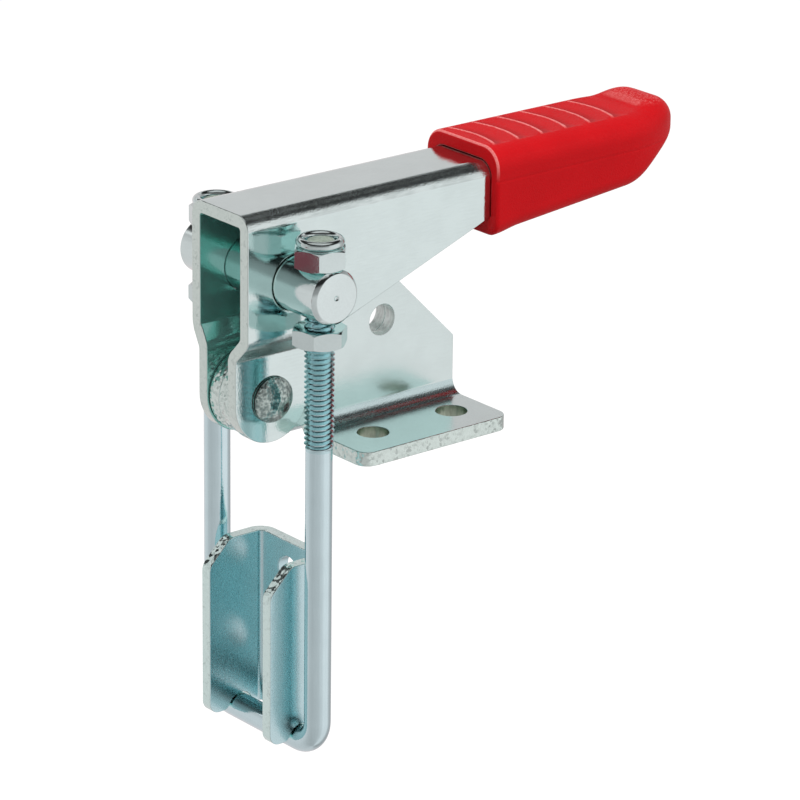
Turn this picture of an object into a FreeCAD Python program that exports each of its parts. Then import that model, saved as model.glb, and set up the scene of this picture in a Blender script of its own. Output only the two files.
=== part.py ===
import FreeCAD, Part
import math
import os

from FreeCAD import Vector

# Over centre toggle latch with a U-bolt, shown closed.
# All lengths are in millimetres. The pieces are modelled about the main pivot: X runs along
# the handle, -Y is the near side, Z is up. At export they move to the part's own frame, whose
# origin is the centre of the four base holes on the mounting face.

# Main pivot and rivet
RIVET_D = 8.0
RIVET_HEAD_D = 12.6
RIVET_HEAD_H = 3.0
RIVET_HEAD_RIM = 0.7
SIDE_PLAY = 0.4
RUN_CLEARANCE = 0.08
FIT_CLEARANCE = 0.02

# Base: two L plates back to back
BASE_SHEET = 4.0
BASE_BEND_R = 4.0
BASE_NOSE_R = 11.5
BASE_FRONT = 15.0
BASE_DROP = 17.0
BASE_CORNER_R = 4.0
BASE_REAR_HEIGHT = 20.0
BASE_TOP_CORNER_R = 3.0
BASE_NECK_R = 6.0
BASE_STOP_GAP = 0.3
BASE_STOP_RISE = 1.6
BASE_HOLE_D = 8.5
BASE_HOLE_PITCH_X = 27.0
BASE_HOLE_PITCH_Y = 32.0
BASE_HOLE_TO_FRONT = 12.5
BASE_HOLE_TO_REAR = 10.5
BASE_HOLE_TO_SIDE = 12.0
SIDE_HOLE_D = 8.5
SIDE_HOLE_TO_FRONT = 25.0
SIDE_HOLE_HEIGHT = 29.5

# Lever: one channel, open below, joggled inwards at its ears
LEVER_SHEET = 3.5
LEVER_WIDTH = 24.0
LEVER_TOP = 52.5
LEVER_BEND_R = 0.8
LEVER_FRONT = 11.1
EAR_R = 12.0
EAR_HEEL_R = 8.0
JOGGLE_ABOVE_EAR = 0.5
JOGGLE_HEIGHT = 5.0
JOGGLE_BEND_R = 1.5
LEG_DEPTH_AT_GRIP = 15.3
LEG_EDGE_ANGLE = 20.5
TANG_DEPTH = 10.5
TANG_TO_GRIP_END = 24.4

# Cross bar through the lever, which carries the U-bolt
BAR_X = 4.5
BAR_Z = 32.4
BAR_D = 15.0
BAR_PAST_LEG = 7.0
BAR_CHAMFER = 1.0
BAR_DIMPLE_D = 1.6
BAR_FLAT_DEPTH = 0.5
LEG_HOLE_CLEARANCE = 0.2
BAR_RIM_CHAMFER = 0.35

# U-bolt
THREAD_D = 8.0
SHANK_D = 7.2
LEG_TO_LEVER = 10.0
BOW_Z = -95.5
BOW_R = 7.5
THREAD_LENGTH = 57.5
THREAD_CHAMFER = 0.8

# Nuts on the U-bolt
NUT_FLATS = 13.0
LOCK_NUT_HEX_H = 5.4
LOCK_NUT_COLLAR_H = 2.6
LOCK_NUT_COLLAR_D = 11.6
NYLON_D = 10.2
NYLON_H = 1.5
NYLON_BELOW_TOP = 0.4
STUD_BELOW_TOP = 0.9
PLAIN_NUT_H = 6.5
PLAIN_NUT_GAP = 1.9
NUT_CHAMFER_ANGLE = 30.0
LOCK_NUT_TURN = 20.0
PLAIN_NUT_TURN = 10.0

# Catch plate: a channel whose flanges hook over the U-bolt's bow
CATCH_SHEET = 3.5
CATCH_TO_LEG = 3.4
CATCH_DEPTH = 21.0
CATCH_HEIGHT = 50.0
CATCH_BEND_R = 1.5
CATCH_TOP_CHAMFER = 7.0
CATCH_TOP_CORNER_R = 4.0
CATCH_LOBE_R = 3.2
CATCH_LOBE_TIP_R = 2.5
CATCH_NOTCH_CLEARANCE = 0.4
CATCH_HOLE_D = 8.5
CATCH_HOLE_DROP = 8.5
CATCH_HOLE_PITCH = 25.0

# Moulded hand grip, pushed over the end of the lever
GRIP_START = 70.3
GRIP_LENGTH = 72.4
GRIP_WALL = 3.0
GRIP_CROWN = 4.2
GRIP_MOUTH_DEPTH = 24.3
GRIP_BELLY_ANGLE = 5.3
GRIP_LIP_DROP = 0.5
GRIP_LIP_LENGTH = 9.5
GRIP_EDGE_R = 6.2
GRIP_BELLY_EDGE_R = 4.2
GRIP_RIM_BEVEL = 0.6
GRIP_HUMP_H = 2.0
GRIP_HUMP_FROM_END = 9.7
GRIP_HUMP_LENGTH = 9.0
GRIP_NOSE_L = 24.3
GRIP_TIP_DROP = 2.5
GRIP_TIP_H = 5.0
GRIP_TIP_SLOPE = 52.0
GRIP_BELLY_SLOPE = 20.0
GRIP_SHOULDER_H = 4.7
GRIP_CHIN_H = 4.9
GRIP_CHIN_BACK = 12.0
GRIP_FIT = 0.15
RIB_FIRST = 5.1
RIB_PITCH = 8.5
RIB_R = 25.0
RIB_STEP = 0.7
RIB_HALF_WIDTH = 11.5
RIB_RAMP = 6.5
RIB_ON_HUMP = 1.0

# Sizes that follow from the ones above
EAR_OUTER = BASE_SHEET + SIDE_PLAY + LEVER_SHEET
BAR_R = BAR_D / 2
BASE_HOLES_X = BASE_FRONT + BASE_HOLE_TO_FRONT + BASE_HOLE_PITCH_X / 2
BASE_TAIL = BASE_HOLES_X + BASE_HOLE_PITCH_X / 2 + BASE_HOLE_TO_REAR
BASE_HALF_WIDTH = BASE_HOLE_PITCH_Y / 2 + BASE_HOLE_TO_SIDE
BASE_TOP = BAR_Z + BASE_STOP_RISE
JOGGLE_BOTTOM = EAR_R + JOGGLE_ABOVE_EAR
JOGGLE_TOP = JOGGLE_BOTTOM + JOGGLE_HEIGHT
LEG_PITCH = LEVER_WIDTH + 2 * LEG_TO_LEVER
BAR_LENGTH = LEG_PITCH + 2 * BAR_PAST_LEG
BAR_SEAT_Z = BAR_Z + BAR_R - BAR_FLAT_DEPTH
LOCK_NUT_TOP = BAR_SEAT_Z + LOCK_NUT_HEX_H + LOCK_NUT_COLLAR_H
STUD_TOP = LOCK_NUT_TOP - STUD_BELOW_TOP
PLAIN_NUT_TOP = BAR_Z - BAR_R - PLAIN_NUT_GAP
HEX_SIDES = 6
NUT_CORNERS = NUT_FLATS / math.cos(math.pi / HEX_SIDES)
CATCH_BACK = BASE_FRONT
CATCH_FRONT = CATCH_BACK - CATCH_DEPTH
CATCH_TOP = BOW_Z + CATCH_HEIGHT
CATCH_WIDTH = LEG_PITCH - SHANK_D - 2 * CATCH_TO_LEG
GRIP_END = GRIP_START + GRIP_LENGTH
TANG_END = GRIP_END - TANG_TO_GRIP_END
GRIP_HALF_WIDTH = LEVER_WIDTH / 2 + GRIP_WALL
GRIP_TOP = LEVER_TOP + GRIP_CROWN
GRIP_OVERRUN = 0.6
RIBBED_LENGTH = GRIP_LENGTH - GRIP_HUMP_FROM_END - GRIP_HUMP_LENGTH
RIB_COUNT = 1 + int((RIBBED_LENGTH + RIB_ON_HUMP - RIB_FIRST - RIB_RAMP) / RIB_PITCH)
SIDES = {"near": -1, "far": 1}
OVERSIZE = 2.0
X_AXIS = Vector(1, 0, 0)
Y_AXIS = Vector(0, 1, 0)
Z_AXIS = Vector(0, 0, 1)
TO_FRAME = Vector(-BASE_HOLES_X, 0, BASE_DROP)


def outline(corners, place):
    """Closed wire through the corners (u, v, radius), each rounded by its radius."""
    count = len(corners)
    flat = [Vector(u, v, 0) for u, v, _ in corners]
    ends = []
    for i, (_, _, radius) in enumerate(corners):
        here = flat[i]
        before = (flat[i - 1] - here).normalize()
        after = (flat[(i + 1) % count] - here).normalize()
        if radius <= 0:
            ends.append((here, None, here))
            continue
        half = before.getAngle(after) / 2
        reach = radius / math.tan(half)
        middle = (before + after).normalize() * (radius / math.sin(half) - radius)
        ends.append((here + before * reach, here + middle, here + after * reach))
    edges = []
    for i, (start, middle, end) in enumerate(ends):
        if middle is not None:
            edges.append(Part.Arc(place(start), place(middle), place(end)).toShape())
        following = ends[(i + 1) % count][0]
        if end.distanceToPoint(following) > 1e-6:
            edges.append(Part.LineSegment(place(end), place(following)).toShape())
    return Part.Wire(edges)


def side_slab(corners, y_low, y_high):
    """Slab whose outline is drawn in X and Z, from y_low to y_high."""
    wire = outline(corners, lambda p: Vector(p.x, y_low, p.y))
    return Part.Face(wire).extrude(Y_AXIS * (y_high - y_low))


def long_bar(corners, x_low, x_high):
    """Bar whose section is drawn in Y and Z, from x_low to x_high."""
    wire = outline(corners, lambda p: Vector(x_low, p.x, p.y))
    return Part.Face(wire).extrude(X_AXIS * (x_high - x_low))


def upright(corners, z_low, z_high):
    """Column whose section is drawn in X and Y, from z_low to z_high."""
    wire = outline(corners, lambda p: Vector(p.x, p.y, z_low))
    return Part.Face(wire).extrude(Z_AXIS * (z_high - z_low))


def rod(diameter, start, end):
    """Round rod between two points."""
    along = end - start
    return Part.makeCylinder(diameter / 2, along.Length, start, along)


def cross_rod(diameter, x, z, half_length):
    """Round rod along Y, centred on Y = 0."""
    return rod(diameter, Vector(x, -half_length, z), Vector(x, half_length, z))


def edges_where(shape, test):
    """Edges whose centre of mass passes the test."""
    return [edge for edge in shape.Edges if test(edge.CenterOfMass)]


def near(a, b):
    """True where two lengths are the same to a hundredth."""
    return abs(a - b) < 0.01


def base_plate(side):
    """One L plate of the base; the two stand back to back on the middle plane."""
    bend_outer_r = BASE_BEND_R + BASE_SHEET
    sheet = BASE_SHEET
    section = [(0, BASE_TOP + OVERSIZE, 0), (0, -BASE_DROP, bend_outer_r),
               (side * BASE_HALF_WIDTH, -BASE_DROP, 0), (side * BASE_HALF_WIDTH, sheet - BASE_DROP, 0),
               (side * sheet, sheet - BASE_DROP, BASE_BEND_R), (side * sheet, BASE_TOP + OVERSIZE, 0)]
    angle = long_bar(section, -BASE_NOSE_R, BASE_TAIL)

    stop_x = BAR_X + BAR_R + BASE_STOP_GAP
    rear_top = BASE_REAR_HEIGHT - BASE_DROP
    slope_top_x = BASE_TAIL - (BASE_TOP - rear_top)
    profile = [(0, -BASE_NOSE_R, 0), (BASE_FRONT, -BASE_NOSE_R, 0), (BASE_FRONT, -BASE_DROP, 0),
               (BASE_TAIL, -BASE_DROP, 0), (BASE_TAIL, rear_top, 0),
               (slope_top_x, BASE_TOP, BASE_TOP_CORNER_R), (stop_x, BASE_TOP, BASE_TOP_CORNER_R),
               (stop_x, BASE_NOSE_R, BASE_NECK_R), (0, BASE_NOSE_R, 0)]
    outer = side * (BASE_HALF_WIDTH + OVERSIZE)
    blank = side_slab(profile, min(0, outer), max(0, outer))
    nose = cross_rod(2 * BASE_NOSE_R, 0, 0, BASE_HALF_WIDTH)
    foot = BASE_BEND_R + sheet - BASE_DROP
    before_flange = side_slab([(-BASE_NOSE_R - OVERSIZE, -BASE_DROP, 0), (BASE_FRONT, -BASE_DROP, 0),
                               (BASE_FRONT, foot, 0), (-BASE_NOSE_R - OVERSIZE, foot, 0)],
                              min(side * sheet, outer), max(side * sheet, outer))
    plate = angle.common(blank.fuse(nose)).cut(before_flange).removeSplitter()

    def at_corner(p):
        on_end = near(p.x, BASE_FRONT) or near(p.x, BASE_TAIL)
        return on_end and near(p.y, side * BASE_HALF_WIDTH)
    plate = plate.makeFillet(BASE_CORNER_R, edges_where(plate, at_corner))

    holes = [cross_rod(RIVET_D + 2 * FIT_CLEARANCE, 0, 0, BASE_HALF_WIDTH),
             cross_rod(SIDE_HOLE_D, BASE_FRONT + SIDE_HOLE_TO_FRONT, SIDE_HOLE_HEIGHT - BASE_DROP,
                       BASE_HALF_WIDTH)]
    for end in (-1, 1):
        foot = Vector(BASE_HOLES_X + end * BASE_HOLE_PITCH_X / 2, side * BASE_HOLE_PITCH_Y / 2, -BASE_DROP)
        holes.append(rod(BASE_HOLE_D, foot, foot + Z_AXIS * BASE_SHEET))
    return plate.cut(holes)


def pivot_rivet():
    """Rivet through both ears and both base plates, with a domed head at each end."""
    seat = EAR_OUTER + RUN_CLEARANCE
    rivet = cross_rod(RIVET_D, 0, 0, seat)
    head_r = RIVET_HEAD_D / 2
    rise = RIVET_HEAD_H - RIVET_HEAD_RIM
    dome_r = (head_r ** 2 + rise ** 2) / (2 * rise)
    for side in SIDES.values():
        along = Y_AXIS * side
        disc = Part.makeCylinder(head_r, RIVET_HEAD_H, along * seat, along)
        ball = Part.makeSphere(dome_r, along * (seat + RIVET_HEAD_H - dome_r))
        rivet = rivet.fuse(disc.common(ball))
    return rivet.removeSplitter()


def lever_section():
    """Half of the lever's folded section in Y and Z, outer line down and inner line back up."""
    half = LEVER_WIDTH / 2
    sheet = LEVER_SHEET
    slant = math.atan2(half - EAR_OUTER, JOGGLE_TOP - JOGGLE_BOTTOM)
    shift = sheet * math.tan(slant / 2)
    tight = JOGGLE_BEND_R
    wide = JOGGLE_BEND_R + sheet
    foot = -EAR_R - OVERSIZE
    outer = [(half, LEVER_TOP, LEVER_BEND_R + sheet), (half, JOGGLE_TOP, wide),
             (EAR_OUTER, JOGGLE_BOTTOM, tight), (EAR_OUTER, foot, 0)]
    inner = [(EAR_OUTER - sheet, foot, 0), (EAR_OUTER - sheet, JOGGLE_BOTTOM + shift, wide),
             (half - sheet, JOGGLE_TOP + shift, tight), (half - sheet, LEVER_TOP - sheet, LEVER_BEND_R)]
    return outer + inner


def leg_edge_z(x):
    """Height of the leg's slanted lower edge at x."""
    return LEVER_TOP - LEG_DEPTH_AT_GRIP + (x - GRIP_START) * math.tan(math.radians(LEG_EDGE_ANGLE))


def tang_start():
    """Where the slanted edge reaches the depth that the grip takes."""
    rise = LEG_DEPTH_AT_GRIP - TANG_DEPTH
    return GRIP_START + rise / math.tan(math.radians(LEG_EDGE_ANGLE))


def lever_channel():
    """The lever: a folded channel with two ears, cut to its side outline."""
    half = lever_section()
    mirrored = [(-y, z, radius) for y, z, radius in reversed(half)]
    channel = long_bar(half + mirrored, -EAR_R, TANG_END)
    tang_z = LEVER_TOP - TANG_DEPTH
    profile = [(-EAR_R, 0, 0), (-EAR_R, JOGGLE_BOTTOM, 0), (-LEVER_FRONT, JOGGLE_TOP, 0),
               (-LEVER_FRONT, LEVER_TOP + OVERSIZE, 0), (TANG_END, LEVER_TOP + OVERSIZE, 0),
               (TANG_END, tang_z, 0), (tang_start(), tang_z, 0),
               (EAR_R, leg_edge_z(EAR_R), EAR_HEEL_R), (EAR_R, 0, 0)]
    blank = side_slab(profile, -LEVER_WIDTH, LEVER_WIDTH)
    ears = cross_rod(2 * EAR_R, 0, 0, LEVER_WIDTH)
    lever = channel.common(blank.fuse(ears)).removeSplitter()
    lever = lever.cut(cross_rod(RIVET_D + 2 * RUN_CLEARANCE, 0, 0, LEVER_WIDTH))
    lever = lever.cut(cross_rod(BAR_D + 2 * RUN_CLEARANCE, BAR_X, BAR_Z, LEVER_WIDTH))

    def on_rim(p):
        return near(abs(p.y), LEVER_WIDTH / 2) and near(p.x, BAR_X) and near(p.z, BAR_Z)
    return lever.makeChamfer(BAR_RIM_CHAMFER, edges_where(lever, on_rim))


def cross_bar():
    """Round bar with a cross hole and a flat for the U-bolt at each end."""
    half = BAR_LENGTH / 2
    bar = cross_rod(BAR_D, BAR_X, BAR_Z, half)

    def on_end(p):
        return near(abs(p.y), half)
    bar = bar.makeChamfer(BAR_CHAMFER, edges_where(bar, on_end))
    cuts = []
    seat_half = NUT_CORNERS / 2 + FIT_CLEARANCE
    for side in SIDES.values():
        leg_y = side * LEG_PITCH / 2
        foot = Vector(BAR_X, leg_y, BAR_Z - BAR_D)
        cuts.append(rod(THREAD_D + 2 * LEG_HOLE_CLEARANCE, foot, foot + Z_AXIS * 2 * BAR_D))
        seat_corner = Vector(BAR_X - BAR_R, leg_y - seat_half, BAR_SEAT_Z)
        cuts.append(Part.makeBox(BAR_D, 2 * seat_half, BAR_D, seat_corner))
        tip = Vector(BAR_X, side * (half - BAR_DIMPLE_D / 2), BAR_Z)
        cuts.append(Part.makeCone(0, BAR_DIMPLE_D / 2, BAR_DIMPLE_D / 2, tip, Y_AXIS * side))
    return bar.cut(cuts)


def u_bolt():
    """Round bar bent to a U, thicker where its two legs are threaded."""
    half = LEG_PITCH / 2
    shank_top = STUD_TOP - THREAD_LENGTH
    turn = BOW_R * (1 - math.cos(math.radians(45)))
    left = Vector(BAR_X, -half, shank_top)
    right = Vector(BAR_X, half, shank_top)
    low = BOW_Z + BOW_R
    left_bend = [Vector(BAR_X, -half, low), Vector(BAR_X, turn - half, BOW_Z + turn),
                 Vector(BAR_X, BOW_R - half, BOW_Z)]
    right_bend = [Vector(BAR_X, half - BOW_R, BOW_Z), Vector(BAR_X, half - turn, BOW_Z + turn),
                  Vector(BAR_X, half, low)]
    path = Part.Wire([Part.LineSegment(left, left_bend[0]).toShape(),
                      Part.Arc(*left_bend).toShape(),
                      Part.LineSegment(left_bend[-1], right_bend[0]).toShape(),
                      Part.Arc(*right_bend).toShape(),
                      Part.LineSegment(right_bend[-1], right).toShape()])
    ring = Part.Wire([Part.makeCircle(SHANK_D / 2, left, Z_AXIS)])
    bolt = path.makePipeShell([ring], True, False)
    for foot in (left, right):
        stud = rod(THREAD_D, foot, foot + Z_AXIS * THREAD_LENGTH)
        stud = stud.makeChamfer(THREAD_CHAMFER, edges_where(stud, lambda p: near(p.z, STUD_TOP)))
        bolt = bolt.fuse(stud)
    return bolt


def hex_prism(height, foot, turn):
    """Hexagonal prism, its corners turned down at both ends; at turn 0 two flats face along X."""
    corner_r = NUT_CORNERS / 2
    ways = [math.radians(turn + (k + 0.5) * 360 / HEX_SIDES) for k in range(HEX_SIDES)]
    corners = [(foot.x + corner_r * math.cos(way), foot.y + corner_r * math.sin(way), 0) for way in ways]
    prism = upright(corners, foot.z, foot.z + height)
    drop = (corner_r - NUT_FLATS / 2) * math.tan(math.radians(NUT_CHAMFER_ANGLE))
    waist = Part.makeCylinder(corner_r, height - 2 * drop, foot + Z_AXIS * drop)
    lower = Part.makeCone(NUT_FLATS / 2, corner_r, drop, foot)
    upper = Part.makeCone(corner_r, NUT_FLATS / 2, drop, foot + Z_AXIS * (height - drop))
    return prism.common(waist.fuse([lower, upper]))


def stud_hole(foot, height):
    """What the U-bolt's thread takes out of a nut."""
    return rod(THREAD_D + 2 * FIT_CLEARANCE, foot, foot + Z_AXIS * height)


def lock_nut(side):
    """Lock nut on top of the cross bar: a hexagon with a rolled collar around the nylon ring."""
    foot = Vector(BAR_X, side * LEG_PITCH / 2, BAR_SEAT_Z)
    height = LOCK_NUT_TOP - BAR_SEAT_Z
    collar = Part.makeCylinder(LOCK_NUT_COLLAR_D / 2, height, foot)
    lip = (LOCK_NUT_COLLAR_D - NYLON_D) / 2
    collar = collar.makeChamfer(lip, edges_where(collar, lambda p: near(p.z, LOCK_NUT_TOP)))
    nut = hex_prism(LOCK_NUT_HEX_H, foot, -side * LOCK_NUT_TURN).fuse(collar).removeSplitter()
    recess_foot = foot + Z_AXIS * (height - NYLON_H - NYLON_BELOW_TOP)
    recess = rod(NYLON_D, recess_foot, foot + Z_AXIS * height)
    return nut.cut([stud_hole(foot, height), recess])


def nylon_ring(side):
    """Nylon locking ring held in the lock nut's collar."""
    foot = Vector(BAR_X, side * LEG_PITCH / 2, LOCK_NUT_TOP - NYLON_H - NYLON_BELOW_TOP)
    ring = rod(NYLON_D - 2 * FIT_CLEARANCE, foot, foot + Z_AXIS * NYLON_H)
    return ring.cut(stud_hole(foot, NYLON_H))


def plain_nut(side):
    """Plain nut below the cross bar, which sets how far down the U-bolt hangs."""
    foot = Vector(BAR_X, side * LEG_PITCH / 2, PLAIN_NUT_TOP - PLAIN_NUT_H)
    nut = hex_prism(PLAIN_NUT_H, foot, -side * PLAIN_NUT_TURN)
    return nut.cut(stud_hole(foot, PLAIN_NUT_H))


def catch_plate():
    """Channel with its back to the panel; both flanges are notched over the U-bolt's bow."""
    half = CATCH_WIDTH / 2
    sheet = CATCH_SHEET
    back = CATCH_BACK
    inner_half = half - sheet
    section = [(CATCH_FRONT, -half, 0), (back, -half, CATCH_BEND_R + sheet),
               (back, half, CATCH_BEND_R + sheet), (CATCH_FRONT, half, 0),
               (CATCH_FRONT, inner_half, 0), (back - sheet, inner_half, CATCH_BEND_R),
               (back - sheet, -inner_half, CATCH_BEND_R), (CATCH_FRONT, -inner_half, 0)]
    channel = upright(section, BOW_Z, CATCH_TOP)
    notch_r = SHANK_D / 2 + CATCH_NOTCH_CLEARANCE
    chamfer = CATCH_TOP_CHAMFER
    lobe_width = BAR_X - notch_r - CATCH_FRONT
    lobe_r = min(CATCH_LOBE_R, lobe_width / 2)
    tip_r = min(CATCH_LOBE_TIP_R, lobe_width - lobe_r - FIT_CLEARANCE)
    profile = [(CATCH_FRONT, BOW_Z, lobe_r), (BAR_X - notch_r, BOW_Z, 0),
               (BAR_X + notch_r, BOW_Z, 0), (back, BOW_Z, 0), (back, CATCH_TOP, 0),
               (CATCH_FRONT + chamfer, CATCH_TOP, CATCH_TOP_CORNER_R),
               (CATCH_FRONT, CATCH_TOP - chamfer, CATCH_TOP_CORNER_R)]
    catch = channel.common(side_slab(profile, -half, half))
    cuts = [cross_rod(2 * notch_r, BAR_X, BOW_Z, half)]
    for step in range(2):
        hole = Vector(back - sheet - OVERSIZE, 0, CATCH_TOP - CATCH_HOLE_DROP - step * CATCH_HOLE_PITCH)
        cuts.append(rod(CATCH_HOLE_D, hole, hole + X_AXIS * (sheet + 2 * OVERSIZE)))
    catch = catch.cut(cuts)

    def on_lobe_tip(p):
        return near(p.x, BAR_X - notch_r) and near(p.z, BOW_Z)
    lobe = edges_where(catch, on_lobe_tip)
    return catch.makeFillet(tip_r, lobe)


def belly_z(x):
    """Height of the grip's straight underside at x."""
    return GRIP_TOP - GRIP_MOUTH_DEPTH + (x - GRIP_START) * math.tan(math.radians(GRIP_BELLY_ANGLE))


def smooth_edge(points, first_way, last_way):
    """Smooth edge through points (x, z) on the plane Y = 0, with its directions at both ends."""
    curve = Part.BSplineCurve()
    curve.interpolate([Vector(x, 0, z) for x, z in points],
                      InitialTangent=Vector(first_way[0], 0, first_way[1]),
                      FinalTangent=Vector(last_way[0], 0, last_way[1]))
    return curve.toShape()


def grip_top_edge():
    """Top line of the grip from the start of its hump, over the hump and down to the tip."""
    crest_x = GRIP_END - GRIP_HUMP_FROM_END
    crest_z = GRIP_TOP + GRIP_HUMP_H
    start_x = crest_x - GRIP_HUMP_LENGTH
    tip_z = LEVER_TOP - GRIP_TIP_DROP + GRIP_TIP_H / 2
    shoulder = (GRIP_END - GRIP_HUMP_FROM_END / 2, tip_z + GRIP_SHOULDER_H)
    steep = math.radians(GRIP_TIP_SLOPE)
    return smooth_edge([(start_x, GRIP_TOP), ((start_x + crest_x) / 2, GRIP_TOP + GRIP_HUMP_H / 2),
                        (crest_x, crest_z), shoulder, (GRIP_END + GRIP_OVERRUN, tip_z)],
                       (1, 0), (math.cos(steep), -math.sin(steep)))


def grip_belly_edge():
    """Underside of the grip from its tip back to its straight stretch."""
    belly_x = GRIP_END - GRIP_NOSE_L
    tip_z = LEVER_TOP - GRIP_TIP_DROP - GRIP_TIP_H / 2
    chin = (GRIP_END - GRIP_CHIN_BACK, tip_z - GRIP_CHIN_H)
    steep = math.radians(GRIP_BELLY_SLOPE)
    slope = math.radians(GRIP_BELLY_ANGLE)
    return smooth_edge([(GRIP_END + GRIP_OVERRUN, tip_z), chin, (belly_x, belly_z(belly_x))],
                       (-math.cos(steep), -math.sin(steep)), (-math.cos(slope), -math.sin(slope)))


def grip_lip_edge():
    """Underside of the mouth, which turns down a little towards the rim."""
    slope = math.radians(GRIP_BELLY_ANGLE)
    lip_end = GRIP_START + GRIP_LIP_LENGTH
    return smooth_edge([(lip_end, belly_z(lip_end)), (GRIP_START, belly_z(GRIP_START) - GRIP_LIP_DROP)],
                       (-math.cos(slope), -math.sin(slope)), (-1, 0))


def joined(*edges):
    """Closed wire through edges that follow each other, with straight lines over the gaps."""
    chain = []
    for i, edge in enumerate(edges):
        chain.append(edge)
        leave = edge.valueAt(edge.LastParameter)
        following = edges[(i + 1) % len(edges)]
        arrive = following.valueAt(following.FirstParameter)
        if leave.distanceToPoint(arrive) > 1e-6:
            chain.append(Part.LineSegment(leave, arrive).toShape())
    return Part.Wire(chain)


def grip_body():
    """Solid form of the grip: its side view and its plan crossed, with all edges rounded."""
    mouth = Part.LineSegment(Vector(GRIP_START, 0, belly_z(GRIP_START) - GRIP_LIP_DROP),
                             Vector(GRIP_START, 0, GRIP_TOP)).toShape()
    side_view = joined(mouth, grip_top_edge(), grip_belly_edge(), grip_lip_edge())
    width = 2 * GRIP_HALF_WIDTH + OVERSIZE
    side_view.translate(-Y_AXIS * width / 2)
    profile = Part.Face(side_view).extrude(Y_AXIS * width)

    nose_x = GRIP_END - GRIP_NOSE_L
    ellipse = Part.Ellipse(Vector(nose_x, 0, 0), GRIP_NOSE_L, GRIP_HALF_WIDTH)
    nose = Part.ArcOfEllipse(ellipse, -math.pi / 2, math.pi / 2).toShape()
    back = Part.LineSegment(Vector(GRIP_START - OVERSIZE, GRIP_HALF_WIDTH, 0),
                            Vector(GRIP_START - OVERSIZE, -GRIP_HALF_WIDTH, 0)).toShape()
    plan = Part.Face(joined(nose, back)).extrude(Z_AXIS * (GRIP_TOP + GRIP_HUMP_H + OVERSIZE))
    body = profile.common(plan)

    def on_side(p):
        return near(abs(p.y), GRIP_HALF_WIDTH) and not near(p.x, GRIP_START) and not near(p.x, nose_x)

    def on_top_side(p):
        return on_side(p) and near(p.z, GRIP_TOP)

    def on_belly_side(p):
        return on_side(p) and p.z < belly_z(p.x) + GRIP_WALL
    body = body.makeFillet(GRIP_EDGE_R, edges_where(body, on_top_side))
    body = body.makeFillet(GRIP_BELLY_EDGE_R, edges_where(body, on_belly_side))
    return body.makeChamfer(GRIP_RIM_BEVEL, edges_where(body, lambda p: near(p.x, GRIP_START)))


def grip_top_z(x):
    """Height of the grip's top line at x."""
    hump = grip_top_edge()
    plumb = Part.makeLine(Vector(x, 0, belly_z(x)), Vector(x, 0, GRIP_TOP + GRIP_HUMP_H + OVERSIZE))
    gap, pairs, _ = hump.distToShape(plumb)
    return pairs[0][0].z if gap < 1e-6 else GRIP_TOP


def rib_ramp(crest_x):
    """Ring taken out behind one rib: a step down, then a ramp back up."""
    axis_x = crest_x - RIB_R
    ramp_x = crest_x + RIB_RAMP
    sky = GRIP_TOP + GRIP_HUMP_H + OVERSIZE
    step = [Vector(crest_x, 0, grip_top_z(crest_x) - RIB_STEP), Vector(ramp_x, 0, grip_top_z(ramp_x)),
            Vector(ramp_x, 0, sky), Vector(crest_x, 0, sky)]
    face = Part.Face(Part.makePolygon(step + [step[0]]))
    sweep = 2 * math.degrees(math.asin(min(1.0, GRIP_HALF_WIDTH / RIB_R)))
    face.rotate(Vector(axis_x, 0, 0), Z_AXIS, -sweep / 2)
    return face.revolve(Vector(axis_x, 0, 0), Z_AXIS, sweep)


def rib_cuts():
    """Crescents taken out behind the ribs, deepest at the middle and gone at the sides."""
    floor = [Vector(GRIP_START, -RIB_HALF_WIDTH, GRIP_TOP), Vector(GRIP_START, 0, GRIP_TOP - RIB_STEP),
             Vector(GRIP_START, RIB_HALF_WIDTH, GRIP_TOP)]
    sky = Z_AXIS * (GRIP_HUMP_H + OVERSIZE)
    bowl = Part.Wire([Part.Arc(*floor).toShape(), Part.makeLine(floor[2], floor[2] + sky),
                      Part.makeLine(floor[2] + sky, floor[0] + sky), Part.makeLine(floor[0] + sky, floor[0])])
    trough = Part.Face(bowl).extrude(X_AXIS * GRIP_LENGTH)
    return [rib_ramp(GRIP_START + RIB_FIRST + k * RIB_PITCH).common(trough) for k in range(RIB_COUNT)]


def hand_grip():
    """Moulded grip with ribs across its top and a socket for the end of the lever."""
    grip = grip_body()
    half = LEVER_WIDTH / 2 + GRIP_FIT
    corner_r = LEVER_BEND_R + LEVER_SHEET + GRIP_FIT
    floor = LEVER_TOP - TANG_DEPTH - GRIP_FIT
    mouth = GRIP_START - OVERSIZE
    socket = long_bar([(-half, leg_edge_z(mouth) - GRIP_FIT, 0), (half, leg_edge_z(mouth) - GRIP_FIT, 0),
                       (half, LEVER_TOP + GRIP_FIT, corner_r), (-half, LEVER_TOP + GRIP_FIT, corner_r)],
                      mouth, TANG_END + GRIP_FIT)
    profile = [(mouth, leg_edge_z(mouth) - GRIP_FIT, 0), (tang_start(), floor, 0),
               (TANG_END + GRIP_FIT, floor, 0), (TANG_END + GRIP_FIT, LEVER_TOP + OVERSIZE, 0),
               (mouth, LEVER_TOP + OVERSIZE, 0)]
    socket = socket.common(side_slab(profile, -LEVER_WIDTH, LEVER_WIDTH))
    return grip.cut([socket] + rib_cuts())


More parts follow.
